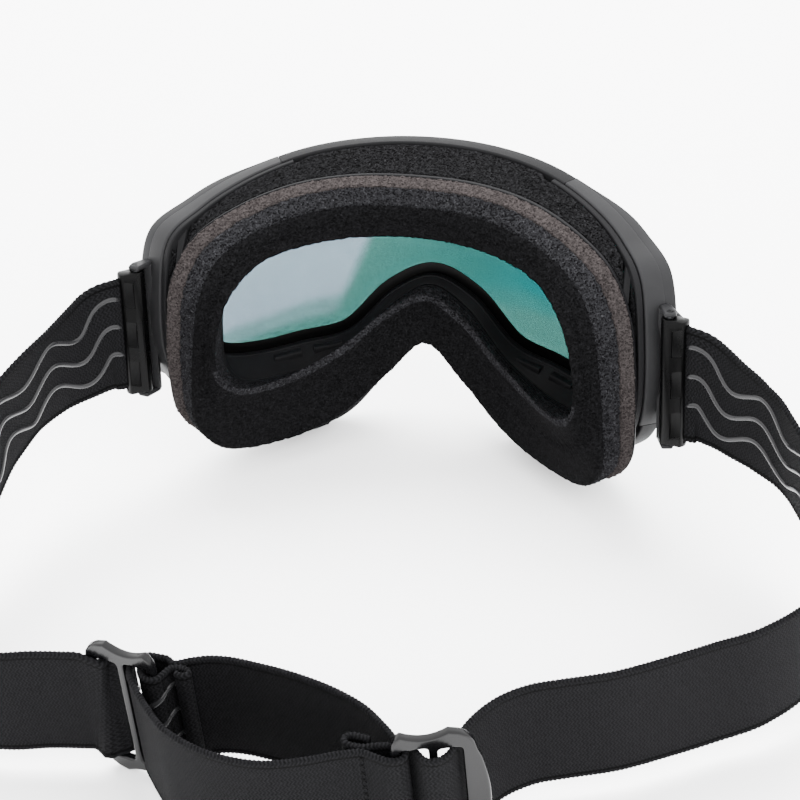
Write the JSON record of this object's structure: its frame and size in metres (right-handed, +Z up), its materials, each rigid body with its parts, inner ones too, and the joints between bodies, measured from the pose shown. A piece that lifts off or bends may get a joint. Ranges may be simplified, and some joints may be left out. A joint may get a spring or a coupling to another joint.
{
  "type": "ski goggles",
  "caption": "Ski goggles: a cylindrical magnetic lens on a curved frame with layered face foam, and a wide elastic strap on swivelling clips with sliding adjusters.",
  "frame": {"origin": "centre of the whole object's footprint, on the table that it stands on", "axes": "+Z up, the lens faces -Y, +X towards the wearer's left"},
  "size_m": [0.2618, 0.2242, 0.0974],
  "materials": {
    "frame_plastic": "fine moulded texture, matte",
    "outrigger_plastic": "fine moulded texture, matte",
    "vent_foam": "coarse open-cell foam, black",
    "base_foam": "open-cell foam, taupe",
    "middle_foam": "open-cell foam, black",
    "face_fleece": "short brushed fleece, black",
    "clip_plastic": "satin",
    "bar_steel": "plain wire",
    "magnet": "nickel plated",
    "outer_lens": "teal mirror coating on a grey tint",
    "inner_lens": "clear, anti-fog",
    "gasket": "closed-cell foam tape, black",
    "webbing": "knitted elastic, zig-zag ribs",
    "silicone_grip": "glossy translucent silicone",
    "slider_plastic": "satin"
  },
  "bodies": {
    "frame": {"face_frame": "frame_plastic", "vent_foam_top": "vent_foam", "vent_foam_left": "vent_foam", "vent_foam_right": "vent_foam", "vent_foam_bottom_left": "vent_foam", "vent_foam_bottom_right": "vent_foam", "foam_base": "base_foam", "foam_middle": "middle_foam", "foam_face": "face_fleece", "outrigger_left": "outrigger_plastic", "outrigger_right": "outrigger_plastic", "strap_bar_left": "bar_steel", "strap_bar_right": "bar_steel", "strap_left_side": "webbing", "strap_left_tail": "webbing", "strap_right_side": "webbing", "strap_right_tail": "webbing", "silicone_left_1": "silicone_grip", "silicone_left_2": "silicone_grip", "silicone_left_3": "silicone_grip", "silicone_right_1": "silicone_grip", "silicone_right_2": "silicone_grip", "silicone_right_3": "silicone_grip", "frame_magnet_top_left": "magnet", "frame_magnet_top_right": "magnet", "frame_magnet_side_left": "magnet", "frame_magnet_side_right": "magnet", "frame_magnet_bottom_left": "magnet", "frame_magnet_bottom_right": "magnet"},
    "lens": {"outer_lens": "outer_lens", "inner_lens": "inner_lens", "lens_gasket": "gasket", "lens_magnet_top_left": "magnet", "lens_magnet_top_right": "magnet", "lens_magnet_side_left": "magnet", "lens_magnet_side_right": "magnet", "lens_magnet_bottom_left": "magnet", "lens_magnet_bottom_right": "magnet"},
    "left_clip": {"strap_clip_left": "clip_plastic"},
    "right_clip": {"strap_clip_right": "clip_plastic"},
    "left_adjuster": {"slider_left": "slider_plastic"},
    "right_adjuster": {"slider_right": "slider_plastic"}
  },
  "joints": [
    {"name": "lens_release", "type": "slide", "parent": "frame", "child": "lens", "axis": [0, -1, 0], "range_m": [0, 0.05]},
    {"name": "left_clip_swivel", "type": "hinge", "parent": "frame", "child": "left_clip", "pos_m": [0.09365, -0.04988, 0.05518], "axis": [0, -0.2164, 0.9763], "range_deg": [-25, 45], "deforming": ["strap_left_side", "silicone_left_1", "silicone_left_2", "silicone_left_3"]},
    {"name": "right_clip_swivel", "type": "hinge", "parent": "frame", "child": "right_clip", "pos_m": [-0.07475, -0.04988, 0.05518], "axis": [0, -0.2164, 0.9763], "range_deg": [-60, 2], "deforming": ["strap_right_side", "silicone_right_1", "silicone_right_2", "silicone_right_3"]},
    {"name": "left_adjuster_slide", "type": "slide", "parent": "frame", "child": "left_adjuster", "axis": [0.9798, -0.2, 0], "range_m": [-0.008, 0.008], "deforming": ["strap_left_tail"]},
    {"name": "right_adjuster_slide", "type": "slide", "parent": "frame", "child": "right_adjuster", "axis": [-0.9404, -0.3401, 0], "range_m": [-0.008, 0.008], "deforming": ["strap_right_tail"]}
  ]
}
